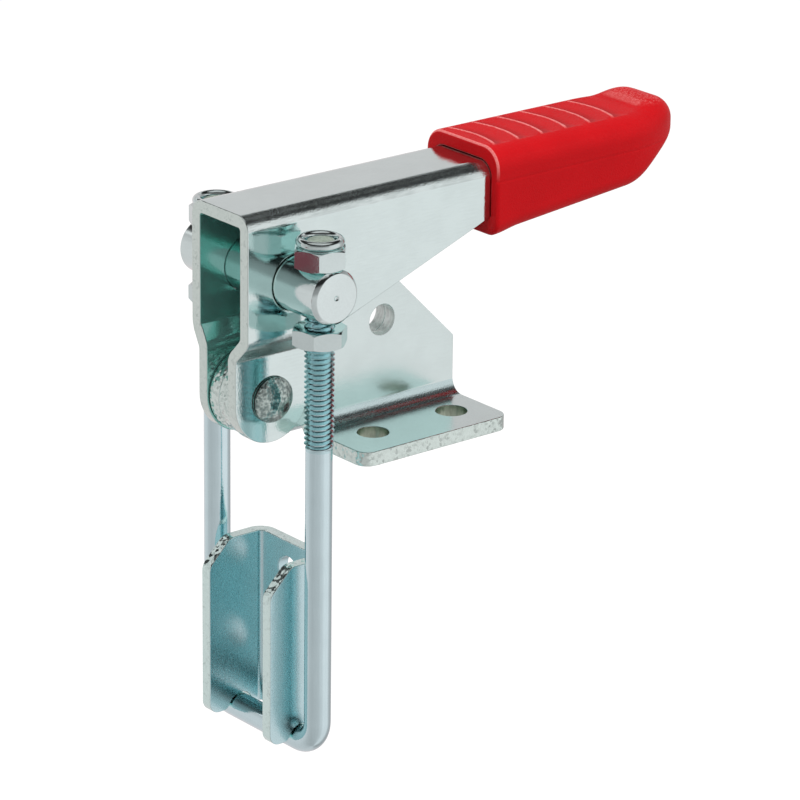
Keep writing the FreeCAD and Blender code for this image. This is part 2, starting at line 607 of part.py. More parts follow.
def main():
    """Build each piece, move it to the part's frame and write it."""
    pieces = {
        "pivot_rivet": pivot_rivet(),
        "lever_channel": lever_channel(),
        "hand_grip": hand_grip(),
        "cross_bar": cross_bar(),
        "u_bolt": u_bolt(),
        "catch_plate": catch_plate(),
    }
    for name, side in SIDES.items():
        pieces["base_plate_" + name] = base_plate(side)
        pieces["lock_nut_" + name] = lock_nut(side)
        pieces["nylon_ring_" + name] = nylon_ring(side)
        pieces["plain_nut_" + name] = plain_nut(side)
    os.makedirs("parts", exist_ok=True)
    for name, shape in pieces.items():
        shape.translate(TO_FRAME)
        box = shape.BoundBox
        print(name, "valid" if shape.isValid() else "INVALID", len(shape.Solids), "solid,",
              "volume %.1f," % shape.Volume, "X %.2f..%.2f" % (box.XMin, box.XMax),
              "Y %.2f..%.2f" % (box.YMin, box.YMax), "Z %.2f..%.2f" % (box.ZMin, box.ZMax))
        shape.exportStep("parts/" + name + ".step")


main()
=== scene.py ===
"""Over centre toggle latch: plated steel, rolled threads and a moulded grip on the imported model."""

from __future__ import annotations

import logging
import math
from dataclasses import dataclass
from enum import Enum, IntEnum
from typing import Callable

import bpy
from mathutils import Matrix, Vector
from mathutils.bvhtree import BVHTree

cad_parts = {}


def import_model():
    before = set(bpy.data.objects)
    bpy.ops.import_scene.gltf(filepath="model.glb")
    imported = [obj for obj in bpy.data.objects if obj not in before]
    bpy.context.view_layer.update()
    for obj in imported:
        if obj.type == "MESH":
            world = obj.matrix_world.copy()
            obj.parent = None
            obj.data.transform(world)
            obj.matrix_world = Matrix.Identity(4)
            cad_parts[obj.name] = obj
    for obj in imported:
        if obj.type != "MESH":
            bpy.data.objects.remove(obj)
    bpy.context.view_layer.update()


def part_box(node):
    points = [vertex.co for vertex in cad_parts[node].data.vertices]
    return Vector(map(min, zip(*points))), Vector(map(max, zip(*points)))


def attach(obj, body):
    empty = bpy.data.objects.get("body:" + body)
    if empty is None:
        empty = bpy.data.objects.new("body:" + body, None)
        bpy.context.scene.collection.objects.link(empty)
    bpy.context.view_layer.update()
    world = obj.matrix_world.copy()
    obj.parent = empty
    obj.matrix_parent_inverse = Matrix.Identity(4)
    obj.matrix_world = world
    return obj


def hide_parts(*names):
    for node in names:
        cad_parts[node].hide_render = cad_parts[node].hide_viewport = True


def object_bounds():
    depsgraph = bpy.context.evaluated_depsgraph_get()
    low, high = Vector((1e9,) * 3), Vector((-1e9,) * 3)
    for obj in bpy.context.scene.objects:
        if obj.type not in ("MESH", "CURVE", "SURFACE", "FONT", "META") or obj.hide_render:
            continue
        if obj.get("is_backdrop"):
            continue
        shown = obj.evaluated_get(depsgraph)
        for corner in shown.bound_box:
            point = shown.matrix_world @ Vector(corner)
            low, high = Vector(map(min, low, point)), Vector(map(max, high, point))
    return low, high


LOG = logging.getLogger("toggle_latch")

MM = 0.001
WELD = 0.002 * MM
FULL_TURN = math.tau
BOLT_HOLE = 8.5 * MM
SHARP_ANGLE = math.radians(35)
FLAT_ANGLE = math.radians(0.7)
THREAD_ANGLE = math.radians(50)

Triple = tuple[float, float, float]
Colour = Triple
Stops = list[tuple[float, float]]
Node = bpy.types.Node
FaceRule = Callable[[bpy.types.MeshPolygon], bool]
PointRule = Callable[[Vector], bool]

EVEN = (1.0, 1.0, 1.0)
WHITE = (1.0, 1.0, 1.0)
BLACK = (0.0, 0.0, 0.0)


class Body(Enum):
    """The three bodies that the pieces ride on."""

    BASE = "base"
    LEVER = "lever"
    U_BOLT = "u_bolt"


class Side(Enum):
    """The two sides of the latch, as the sign of Y."""

    NEAR = -1
    FAR = 1

    @property
    def word(self) -> str:
        """The side's name as it stands in a piece's name."""
        return self.name.lower()


class Skin(IntEnum):
    """The material numbers that every cut sheet has."""

    SHEET = 0
    CUT_EDGE = 1
    # painted dark reflection: the material of the rounded edges, broken between bright metal and near
    # black
    EDGE_LINE_PAINTED_DARK = 2


@dataclass(frozen=True)
class Ribs:
    """The curved ribs across the grip's top, for its mesh and for its plastic."""

    first: float = 34.4 * MM
    pitch: float = 8.5 * MM
    radius: float = 25.0 * MM
    count: int = 6

    @property
    def span(self) -> float:
        """The way from the first crest to the last."""
        return (self.count - 1) * self.pitch


RIBS = Ribs()


# Shader expressions


@dataclass(frozen=True)
class Flow:
    """A shader socket that arithmetic turns into Math nodes."""

    bench: Bench
    socket: bpy.types.NodeSocket

    def __add__(self, other: Flow | float) -> Flow:
        """Adds a socket or a number."""
        return self.bench.math("ADD", self, other)

    __radd__ = __add__

    def __mul__(self, other: Flow | float) -> Flow:
        """Multiplies by a socket or a number."""
        return self.bench.math("MULTIPLY", self, other)

    __rmul__ = __mul__

    def __sub__(self, other: Flow | float) -> Flow:
        """Takes a socket or a number away."""
        return self.bench.math("SUBTRACT", self, other)

    def __rsub__(self, other: float) -> Flow:
        """Takes the socket away from a number."""
        return self.bench.math("SUBTRACT", other, self)

    def __pow__(self, power: float) -> Flow:
        """Raises the socket to a power."""
        return self.bench.math("POWER", self, power)

    def between(self, low: float, high: float) -> Flow:
        """Gives 0 below low, 1 above high and a smooth step in between.

        Args:
            low: The value where the step starts.
            high: The value where the step ends.

        Returns:
            The step, from 0 to 1.
        """
        node = self.bench.node(
            "ShaderNodeMapRange",
            {"interpolation_type": "SMOOTHSTEP"},
            {"Value": self, "From Min": low, "From Max": high},
        )
        return self.bench.flow(node, "Result")


class Bench:
    """Adds nodes to one node tree."""

    def __init__(self, tree: bpy.types.NodeTree) -> None:
        """Starts with an empty tree.

        Args:
            tree: The node tree of a material or of the world.
        """
        self.tree = tree
        tree.nodes.clear()

    def fill(self, node: Node, inputs: dict) -> None:
        """Links flows to a node's sockets, and sets numbers and colours on them.

        Args:
            node: The node.
            inputs: Numbers, colours or flows, by the socket's name or place.
        """
        for key, value in inputs.items():
            if isinstance(value, Flow):
                self.tree.links.new(value.socket, node.inputs[key])
            else:
                node.inputs[key].default_value = value

    def node(self, kind: str, settings: dict | None = None, inputs: dict | None = None) -> Node:
        """Adds one node.

        Args:
            kind: The node's type name.
            settings: Values set on the node itself. The key stops takes a ramp's stops.
            inputs: Numbers, colours or flows for the node's sockets, by name or place.

        Returns:
            The new node.
        """
        made = self.tree.nodes.new(kind)
        for key, value in (settings or {}).items():
            if key == "stops":
                self._set_stops(made.color_ramp, value)
            else:
                setattr(made, key, value)
        self.fill(made, inputs or {})
        return made

    def _set_stops(self, ramp: bpy.types.ColorRamp, stops: Stops) -> None:
        """Fills a ramp with grey stops, given as place and value."""
        while len(ramp.elements) < len(stops):
            ramp.elements.new(1.0)
        for element, (place, value) in zip(ramp.elements, stops):
            element.position = place
            element.color = (value, value, value, 1.0)

    def flow(self, node: Node, output: str | int = 0) -> Flow:
        """Wraps one output of a node."""
        return Flow(self, node.outputs[output])

    def math(self, operation: str, first: Flow | float, second: Flow | float) -> Flow:
        """Adds a Math node with two inputs."""
        node = self.node("ShaderNodeMath", {"operation": operation}, {0: first, 1: second})
        return self.flow(node)

    def vector(self, operation: str, inputs: dict) -> Flow:
        """Adds a Vector Math node."""
        return self.flow(self.node("ShaderNodeVectorMath", {"operation": operation}, inputs))

    def split(self, vector: Flow) -> tuple[Flow, Flow, Flow]:
        """Gives the three parts of a vector."""
        node = self.node("ShaderNodeSeparateXYZ", None, {0: vector})
        return self.flow(node, 0), self.flow(node, 1), self.flow(node, 2)

    def facing(self) -> Flow:
        """Gives the surface's own normal."""
        return self.flow(self.node("ShaderNodeNewGeometry"), "Normal")

    def ray(self, kind: str) -> Flow:
        """Gives 1 for one kind of ray and 0 for the others."""
        return self.flow(self.node("ShaderNodeLightPath"), kind)

    def ramp(self, value: Flow, stops: Stops, curve: str = "EASE") -> Flow:
        """Runs a value through a grey colour ramp."""
        node = self.node("ShaderNodeValToRGB", {"stops": stops}, {"Fac": value})
        node.color_ramp.interpolation = curve
        return self.flow(node, "Color")

    def mix(self, share: Flow | float, first: Flow | Colour, second: Flow | Colour) -> Flow:
        """Mixes two colours.

        Args:
            share: How much of the second colour shows, from 0 to 1.
            first: The colour at 0.
            second: The colour at 1.

        Returns:
            The mixed colour.
        """
        inputs: dict = {0: share}
        for key, colour in ((6, first), (7, second)):
            inputs[key] = colour if isinstance(colour, Flow) else (*colour, 1.0)
        return self.flow(self.node("ShaderNodeMix", {"data_type": "RGBA"}, inputs), 2)

    def place(self, stretch: Triple = EVEN) -> Flow:
        """Gives the point on the object, stretched along each axis."""
        point = self.flow(self.node("ShaderNodeTexCoord"), "Object")
        return self.flow(self.node("ShaderNodeMapping", None, {"Vector": point, "Scale": stretch}))

    def noise(self, size: float, place: Flow, detail: float = 2.0, rough: float = 0.5) -> Flow:
        """Gives a noise from 0 to 1.

        Args:
            size: How large one blotch is, in metres.
            place: Where the noise is read.
            detail: How many finer layers it has.
            rough: How strong the finer layers are.

        Returns:
            The noise's value.
        """
        inputs = {"Vector": place, "Scale": 1 / size, "Detail": detail, "Roughness": rough}
        return self.flow(self.node("ShaderNodeTexNoise", None, inputs), "Fac")

    def cells(self, size: float, place: Flow) -> Flow:
        """Gives one random colour for each crystal of about that size."""
        node = self.node("ShaderNodeTexVoronoi", None, {"Vector": place, "Scale": 1 / size})
        return self.flow(node, "Color")

    def bump(self, height: Flow, depth: float, under: Flow | None = None) -> Flow:
        """Turns a height from 0 to 1 into a normal.

        Args:
            height: The pattern.
            depth: How deep the pattern is, in metres.
            under: A normal that this bump lies on.

        Returns:
            The bent normal.
        """
        inputs: dict = {"Height": height, "Distance": depth, "Strength": 1.0}
        if under is not None:
            inputs["Normal"] = under
        return self.flow(self.node("ShaderNodeBump", None, inputs), "Normal")

    def tilt(self, facets: Flow, lean: Flow | float) -> Flow:
        """Leans the surface's normal by a different way for each crystal.

        Args:
            facets: The crystals' random colours.
            lean: How far they lean.

        Returns:
            The leaning normal.
        """
        centred = self.vector("SUBTRACT", {0: facets, 1: (0.5, 0.5, 0.5)})
        leaning = self.vector("SCALE", {0: centred, "Scale": lean})
        added = self.vector("ADD", {0: self.facing(), 1: leaning})
        return self.vector("NORMALIZE", {0: added})


# Finishes


class Finish:
    """A material made once and handed to every piece that has it."""

    name: str

    def material(self) -> bpy.types.Material:
        """Gives the material, made the first time that it is asked for."""
        found = bpy.data.materials.get(self.name)
        if found is not None:
            return found
        made = bpy.data.materials.new(self.name)
        made.use_nodes = True
        bench = Bench(made.node_tree)
        surface = bench.node("ShaderNodeBsdfPrincipled")
        output = bench.node("ShaderNodeOutputMaterial")
        made.node_tree.links.new(surface.outputs["BSDF"], output.inputs["Surface"])
        bench.fill(surface, self.paint(bench))
        return made

    def paint(self, bench: Bench) -> dict:
        """Gives what the surface's sockets hold."""
        raise NotImplementedError


@dataclass(frozen=True)
class Plating(Finish):
    """Bright zinc with a blue passivation: fine grain, soft clouds and faint rolling streaks."""

    name: str
    tint: Colour
    grain: float = 0.4 * MM
    grain_depth: float = 0.014 * MM
    cloud: float = 9.0 * MM
    smooth: float = 0.05
    dull: float = 0.10
    wave_depth: float = 0.05 * MM
    stretch: Triple = (0.12, 1.0, 1.0)
    streak: float = 0.5 * MM
    shade: float = 0.95
    metal: float = 1.0

    def paint(self, bench: Bench) -> dict:
        """Gives what the surface's sockets hold."""
        plain = bench.place()
        clouds = bench.noise(self.cloud, plain, 3.0)
        streaks = bench.noise(self.streak, bench.place(self.stretch), 2.0)
        specks = bench.noise(self.grain, plain, 2.0)
        darker = tuple(channel * self.shade for channel in self.tint)
        worn = (clouds * 0.6 + streaks * 0.4).between(0.35, 0.65)
        colour = bench.mix(worn, darker, self.tint)
        waves = bench.bump(clouds, self.wave_depth)
        normal = bench.bump(specks, self.grain_depth, waves)
        scuffs = (streaks * 0.5 + specks * 0.5).between(0.3, 0.7)
        rough = self.smooth + (self.dull - self.smooth) * scuffs
        return {"Base Color": colour, "Metallic": self.metal, "Roughness": rough, "Normal": normal}


@dataclass(frozen=True)
class ShearedEdge(Finish):
    """The edge of a blanked sheet after plating: granular, with dark torn flecks."""

    name: str
    tint: Colour = (0.61, 0.80, 0.75)
    fleck: Colour = (0.16, 0.22, 0.20)
    grain: float = 0.75 * MM
    lean: float = 0.16
    slope_lean: float = 0.5
    flecks: float = 0.3
    slope_flecks: float = 0.2
    crumb: float = 0.8 * MM
    tear: float = 1.6 * MM
    smooth: float = 0.12
    dull: float = 0.24

    def paint(self, bench: Bench) -> dict:
        """Gives what the surface's sockets hold, with the most glitter on slopes that face up."""
        plain = bench.place()
        crumbs = bench.noise(self.crumb, plain, 3.0, 0.65)
        tears = bench.noise(self.tear, plain, 4.0, 0.75).between(0.52, 0.72)
        _, _, rise = bench.split(bench.facing())
        slope = rise.between(0.2, 0.4) * (1 - rise.between(0.93, 0.99))
        colour = bench.mix(tears * (self.flecks + self.slope_flecks * slope), self.tint, self.fleck)
        lean = self.lean + (self.slope_lean - self.lean) * slope
        normal = bench.tilt(bench.cells(self.grain, plain), lean)
        rough = self.smooth + (self.dull - self.smooth) * crumbs
        return {"Base Color": colour, "Metallic": 1.0, "Roughness": rough, "Normal": normal}


@dataclass(frozen=True)
class EdgeLinePaintedDark(Finish):
    """The rounded edge of a punched sheet, broken between the metal's own bright tint and a painted
    dark reflection.
    """

    name: str
    bright: Colour = (0.70, 0.92, 0.87)
    # painted shade: near black, standing in for the dark that the rounded edge reflects
    dark: Colour = (0.09, 0.13, 0.12)
    stretch: float = 1.8 * MM
    rough: float = 0.25

    def paint(self, bench: Bench) -> dict:
        """Gives what the surface's sockets hold."""
        # painted dark reflection, broken up along the edge
        breaks = bench.noise(self.stretch, bench.place(), 3.0, 0.6).between(0.46, 0.56)
        colour = bench.mix(breaks, self.bright, self.dark)
        return {"Base Color": colour, "Metallic": 1.0, "Roughness": self.rough}


@dataclass(frozen=True)
class PunchedWall(Finish):
    """The scored wall of a punched hole, whose flat tint carries painted shade in the bolt holes and
    painted light in the side hole; also used for the stud's end.
    """

    name: str
    # dark tint: painted shade, used as it is for the bolt holes' walls
    tint: Colour = (0.28, 0.37, 0.29)
    metal: float = 1.0
    brighter: float = 1.3
    score: float = 0.8 * MM
    score_depth: float = 0.1 * MM
    stretch: Triple = (1.0, 1.0, 0.3)
    rough: float = 0.3

    def paint(self, bench: Bench) -> dict:
        """Gives what the surface's sockets hold."""
        scores = bench.noise(self.score, bench.place(self.stretch), 3.0)
        pale = tuple(channel * self.brighter for channel in self.tint)
        colour = bench.mix(scores.between(0.35, 0.65), self.tint, pale)
        normal = bench.bump(scores, self.score_depth)
        return {
            "Base Color": colour,
            "Metallic": self.metal,
            "Roughness": self.rough,
            "Normal": normal,
        }


@dataclass(frozen=True)
class HammeredPlating(Finish):
    """Plating over an upset rivet head: dark, dented and mottled."""

    name: str
    tint: Colour = (0.55, 0.75, 0.70)
    dark: Colour = (0.18, 0.28, 0.265)
    dent: float = 3.2 * MM
    dent_depth: float = 0.5 * MM
    speck: float = 0.9 * MM
    speck_depth: float = 0.12 * MM
    smooth: float = 0.12
    dull: float = 0.28

    def paint(self, bench: Bench) -> dict:
        """Gives what the surface's sockets hold."""
        plain = bench.place()
        dents = bench.noise(self.dent, plain, 2.0)
        specks = bench.noise(self.speck, plain, 2.0)
        mottle = (dents * 0.45 + specks * 0.55).between(0.38, 0.62)
        colour = bench.mix(mottle, self.dark, self.tint)
        normal = bench.bump(specks, self.speck_depth, bench.bump(dents, self.dent_depth))
        rough = self.smooth + (self.dull - self.smooth) * specks
        return {"Base Color": colour, "Metallic": 1.0, "Roughness": rough, "Normal": normal}


@dataclass(frozen=True)
class MouldedPlastic(Finish):
    """Red moulded plastic, satin, with the fine grain of an eroded mould, painted shade behind the
    ribs and painted highlights on the rib crests, the mouth's rim and the hump.
    """

    name: str
    tint: Colour = (0.62, 0.004, 0.008)
    deep: Colour = (0.50, 0.003, 0.006)
    # painted shade, for the strip behind each rib
    rib_painted_shade: Colour = (0.25, 0.001, 0.003)
    # painted highlight colour for the rib crests, the mouth's rim and the hump
    painted_sheen: Colour = (0.92, 0.30, 0.29)
    cloud: float = 12.0 * MM
    grain: float = 0.5 * MM
    grain_depth: float = 0.10 * MM
    smooth: float = 0.40
    dull: float = 0.56
    gloss: float = 0.12
    rib_lead: float = 1.1 * MM
    rib_edge: float = 0.1 * MM
    rib_tail: float = 6.0 * MM
    rib_fade: float = 1.0 * MM
    rib_reach: float = 8.6 * MM
    rib_end: float = 10.4 * MM
    rib_floor: float = 73.0 * MM
    hump_foot: float = 73.9 * MM
    hump_top: float = 75.4 * MM

    def paint(self, bench: Bench) -> dict:
        """Gives what the surface's sockets hold."""
        plain = bench.place()
        crumbs = bench.noise(self.grain, plain, 2.0, 0.6)
        clouds = bench.noise(self.cloud, plain, 2.0)
        depth = clouds.between(0.3, 0.7) * 0.35 + crumbs.between(0.25, 0.5) * -0.2 + 0.2
        behind, field, height = self.behind_crest(bench)
        colour = bench.mix(depth, self.tint, self.deep)
        # painted shade in a strip behind each rib
        colour = bench.mix(self.rib_painted_shade_strip(behind, field) * 0.5, colour, self.rib_painted_shade)
        # painted highlights on the rib crests, the mouth's rim and the hump
        painted_highlights = self.crests(behind, field, crumbs) + self.edges(bench, height, crumbs)
        colour = bench.mix(painted_highlights, colour, self.painted_sheen)
        rough = self.smooth + (self.dull - self.smooth) * crumbs
        normal = bench.bump(crumbs, self.grain_depth)
        return {
            "Base Color": colour,
            "Roughness": rough,
            "Normal": normal,
            "Specular IOR Level": self.gloss,
        }

    def behind_crest(self, bench: Bench) -> tuple[Flow, Flow, Flow]:
        """Measures how far a point lies behind the last rib's crest.

        Args:
            bench: Where the nodes go.

        Returns:
            The distance, a mask of the ribbed field, and the height.
        """
        x, y, z = bench.split(bench.place())
        bow = (RIBS.radius ** 2 - y * y) ** 0.5
        run = x - (RIBS.first - RIBS.radius) - bow
        behind = bench.math("FLOORED_MODULO", run + self.rib_lead, RIBS.pitch) - self.rib_lead
        tail = RIBS.span + self.rib_tail
        length = run.between(-self.rib_lead, self.rib_edge - self.rib_lead)
        length = length * (1 - run.between(tail, tail + self.rib_fade))
        width = 1 - (y * y).between(self.rib_reach ** 2, self.rib_end ** 2)
        top = z.between(self.rib_floor, self.rib_floor + self.rib_edge)
        return behind, length * width * top, z

    def rib_painted_shade_strip(self, behind: Flow, field: Flow) -> Flow:
        """Gives the strip of painted shade just behind each rib."""
        strip = behind.between(0.1 * MM, 0.4 * MM) * (1 - behind.between(0.6 * MM, 4.0 * MM))
        return field * strip

    def crests(self, behind: Flow, field: Flow, crumbs: Flow) -> Flow:
        """Gives the painted highlights on the crests, broken up by the mould's grain."""
        line = behind.between(-1.0 * MM, -0.5 * MM) * (1 - behind.between(0.0, 0.25 * MM))
        return field * line * (0.2 + 1.1 * crumbs)

    def edges(self, bench: Bench, height: Flow, crumbs: Flow) -> Flow:
        """Gives the painted highlights on the rim at the grip's mouth and on the hump at its end.

        Args:
            bench: Where the nodes go.
            height: The height of the point.
            crumbs: The mould's grain, which breaks them up.

        Returns:
            How pale each place is.
        """
        sideways, _, _ = bench.split(bench.facing())
        forward = sideways * -1.0
        # painted highlight on the faces of the mouth's rim that lean forward
        rim = forward.between(0.25, 0.45) * (1 - forward.between(0.85, 0.97))
        rim = rim * height.between(64 * MM, 70 * MM)
        # painted highlight speckled over the hump's top
        hump = height.between(self.hump_foot, self.hump_top) * crumbs.between(0.45, 0.65)
        return rim * (0.2 + 0.9 * crumbs) + hump * 0.35


@dataclass(frozen=True)
class Nylon(Finish):
    """The pale, slightly see-through nylon of a lock ring."""

    name: str
    tint: Colour = (0.44, 0.50, 0.42)
    deep: Colour = (0.30, 0.36, 0.29)
    cloud: float = 1.2 * MM
    grain: float = 0.25 * MM
    grain_depth: float = 0.01 * MM
    rough: float = 0.38
    glow: float = 0.25
    glow_tint: Colour = (0.9, 1.0, 0.8)
    glow_reach: float = 0.8 * MM

    def paint(self, bench: Bench) -> dict:
        """Gives what the surface's sockets hold."""
        plain = bench.place()
        clouds = bench.noise(self.cloud, plain, 2.0)
        colour = bench.mix(clouds.between(0.35, 0.65), self.tint, self.deep)
        normal = bench.bump(bench.noise(self.grain, plain), self.grain_depth)
        return {
            "Base Color": colour,
            "Roughness": self.rough,
            "Normal": normal,
            "Subsurface Weight": self.glow,
            "Subsurface Radius": self.glow_tint,
            "Subsurface Scale": self.glow_reach,
        }


SHEET_ZINC = Plating("zinc_on_rolled_sheet", (0.66, 0.885, 0.865), smooth=0.06, dull=0.11)
PLATE_ZINC = Plating("zinc_on_base_sheet", (0.65, 0.865, 0.845), smooth=0.16, dull=0.24)
FOLD_ZINC = Plating(
    "zinc_over_folds", (0.66, 0.87, 0.85), grain_depth=0.07 * MM, smooth=0.12, dull=0.22, shade=0.8
)
# painted shade: a darker, more teal copy of the base plate's zinc for its bends
CORNER_ZINC_PAINTED_SHADE = Plating(
    "zinc_with_painted_shade_in_the_bends", (0.54, 0.78, 0.78), grain_depth=0.05 * MM, smooth=0.18, dull=0.32
)
# painted shade: a darker, more teal, less metallic zinc for the channel's inner faces
INNER_ZINC_PAINTED_SHADE = Plating("zinc_with_painted_shade_inside_the_channel", (0.36, 0.72, 0.66), metal=0.78)
CATCH_ZINC = Plating(
    "zinc_on_catch_sheet", (0.53, 0.81, 0.84), stretch=(1.0, 1.0, 0.12), smooth=0.22, dull=0.29
)
BAR_ZINC = Plating("zinc_on_turned_bar", (0.67, 0.88, 0.865), stretch=(1.0, 0.15, 1.0))
ROD_ZINC = Plating(
    "zinc_on_drawn_rod", (0.61, 0.87, 0.90), stretch=(1.0, 1.0, 0.1), smooth=0.08, dull=0.14
)
THREAD_ZINC = Plating(
    "zinc_on_rolled_thread", (0.54, 0.83, 0.86), stretch=EVEN, smooth=0.12, dull=0.22
)
NUT_ZINC = Plating("zinc_on_nuts", (0.60, 0.80, 0.785), stretch=EVEN)
BLANKED_EDGE = ShearedEdge("blanked_edge")
PLATE_EDGE = ShearedEdge("plate_blanked_edge", (0.63, 0.84, 0.79), lean=0.5)
CATCH_EDGE = ShearedEdge("catch_blanked_edge", (0.65, 0.92, 0.88))
STUD_END = PunchedWall("stud_end", (0.30, 0.37, 0.31), 0.2)
# painted light: a pale tint at low metalness for the side hole's walls
SIDE_WALL_PAINTED_LIGHT = PunchedWall("side_hole_wall_painted_light", (0.72, 0.80, 0.78), 0.3)
# painted dark reflection, broken along every rounded sheet edge
EDGE_LINE_PAINTED_DARK_FINISH = EdgeLinePaintedDark("edge_line_painted_dark")
# painted shade: the dark default tint for the bolt holes' walls
HOLE_WALL_PAINTED_SHADE = PunchedWall("punched_hole_wall_painted_shade")
RIVET_ZINC = HammeredPlating("zinc_on_rivet_head")
# painted shade: near black for the steep rim of the rivet head
RIVET_RIM_PAINTED_SHADE = HammeredPlating("painted_shade_on_rivet_rim", (0.06, 0.085, 0.08), (0.02, 0.03, 0.03))
GRIP_RED = MouldedPlastic("red_moulded_plastic")
RING_NYLON = Nylon("ring_nylon")


# The workbench


class Workpiece:
    """A mesh object shaped with Blender's own operators."""

    def __init__(self, thing: bpy.types.Object) -> None:
        """Takes a mesh object onto the bench."""
        self.thing = thing

    @property
    def mesh(self) -> bpy.types.Mesh:
        """The piece's mesh."""
        return self.thing.data

    @classmethod
    def from_node(cls, node: str, name: str) -> Workpiece:
        """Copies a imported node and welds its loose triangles.

        Args:
            node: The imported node's name.
            name: The new piece's name.

        Returns:
            The welded copy.
        """
        source = bpy.data.objects[node]
        thing = bpy.data.objects.new(name, source.data.copy())
        thing.data.name = name
        bpy.context.scene.collection.objects.link(thing)
        piece = cls(thing)
        piece.mesh.materials.clear()
        piece.take_up()
        bpy.ops.mesh.customdata_custom_splitnormals_clear()
        piece.open()
        bpy.ops.mesh.remove_doubles(threshold=WELD)
        piece.close()
        return piece

    @classmethod
    def adopt(cls, name: str) -> Workpiece:
        """Names the primitive that was just added and takes it up."""
        thing = bpy.context.active_object
        thing.name = name
        thing.data.name = name
        return cls(thing)

    def take_up(self) -> None:
        """Selects this piece alone."""
        for other in bpy.context.selected_objects:
            other.select_set(False)
        self.thing.select_set(True)
        bpy.context.view_layer.objects.active = self.thing

    def open(self, everything: bool = True) -> None:
        """Goes into edit mode with all or nothing selected."""
        self.take_up()
        bpy.ops.object.mode_set(mode="EDIT")
        bpy.ops.mesh.select_mode(type="VERT")
        bpy.ops.mesh.select_all(action="SELECT" if everything else "DESELECT")

    def close(self) -> None:
        """Leaves edit mode."""
        bpy.ops.object.mode_set(mode="OBJECT")

    def pick_points(self, rule: PointRule) -> None:
        """Selects the points that a rule picks, and nothing else, and stays in edit mode."""
        self.open(everything=False)
        self.close()
        for point in self.mesh.vertices:
            point.select = rule(point.co)
        bpy.ops.object.mode_set(mode="EDIT")

    def lift(self, rule: PointRule, rise: float) -> None:
        """Moves the points that a rule picks up, or down where the rise is negative."""
        self.pick_points(rule)
        bpy.ops.transform.translate(value=(0, 0, rise))
        self.close()

    def swell(self, rule: PointRule, step: float) -> None:
        """Pushes the points that a rule picks out of the surface, or into it."""
        self.pick_points(rule)
        bpy.ops.transform.shrink_fatten(value=step)
        self.close()

    def modify(self, kind: str, **settings: object) -> None:
        """Adds a modifier and applies it.

        Args:
            kind: The modifier's type.
            settings: Values set on the modifier.
        """
        self.take_up()
        modifier = self.thing.modifiers.new(kind.lower(), kind)
        for key, value in settings.items():
            setattr(modifier, key, value)
        bpy.ops.object.modifier_apply(modifier=modifier.name)

    def mark_edges(self, sheet: float) -> None:
        """Gives the cut edges round a sheet's outline their own material.

        A ray from a face into the metal leaves it after one thickness, except on a cut edge. A ray
        out of a hole's wall meets the same sheet again within the hole's width.

        Args:
            sheet: The sheet's thickness.
        """
        points = [point.co for point in self.mesh.vertices]
        tree = BVHTree.FromPolygons(points, [face.vertices for face in self.mesh.polygons])
        skin = 0.01 * MM
        for face in self.mesh.polygons:
            inward = tree.ray_cast(face.center - face.normal * skin, -face.normal)[3]
            outward = tree.ray_cast(face.center + face.normal * skin, face.normal)[3]
            in_hole = outward is not None and outward < BOLT_HOLE
            deep = inward is None or inward > sheet * 1.25
            face.material_index = Skin.CUT_EDGE if deep and not in_hole else Skin.SHEET

    def mark(self, number: int, rule: FaceRule) -> None:
        """Gives the plain faces that a rule picks another material number."""
        for face in self.mesh.polygons:
            if face.material_index == Skin.SHEET and rule(face):
                face.material_index = number

    def clean_flats(self) -> None:
        """Joins the triangles of each flat face."""
        self.open()
        bpy.ops.mesh.dissolve_limited(angle_limit=FLAT_ANGLE, delimit={"MATERIAL"})
        self.close()

    def break_edges(self, width: float, finish: int = -1, clamp: bool = False) -> None:
        """Rounds every sharp edge and shades the result.

        Args:
            width: How far the rounding reaches from the edge.
            finish: The rounding's material number, or -1 for its neighbours'.
            clamp: Whether the rounding stays narrow where edges are short.
        """
        self.modify(
            "BEVEL",
            width=width,
            segments=2,
            limit_method="ANGLE",
            angle_limit=SHARP_ANGLE,
            use_clamp_overlap=clamp,
            miter_outer="MITER_ARC",
            material=finish,
        )
        self.take_up()
        bpy.ops.object.shade_smooth()
        self.modify("WEIGHTED_NORMAL", keep_sharp=True, weight=80)

    def hand_over(self, node: str, body: Body, slot: str, *finishes: Finish) -> None:
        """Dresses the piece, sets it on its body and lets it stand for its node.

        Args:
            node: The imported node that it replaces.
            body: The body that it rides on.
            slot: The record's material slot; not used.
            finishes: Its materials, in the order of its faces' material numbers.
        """
        for finish in finishes:
            self.mesh.materials.append(finish.material())
        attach(self.thing, body.value)
        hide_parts(node)
        LOG.info("%s: %d faces", self.thing.name, len(self.mesh.polygons))


def is_bent(face: bpy.types.MeshPolygon) -> bool:
    """Tells whether a face is square to none of the three axes."""
    return max(abs(part) for part in face.normal) < 0.995


# Sub-assemblies


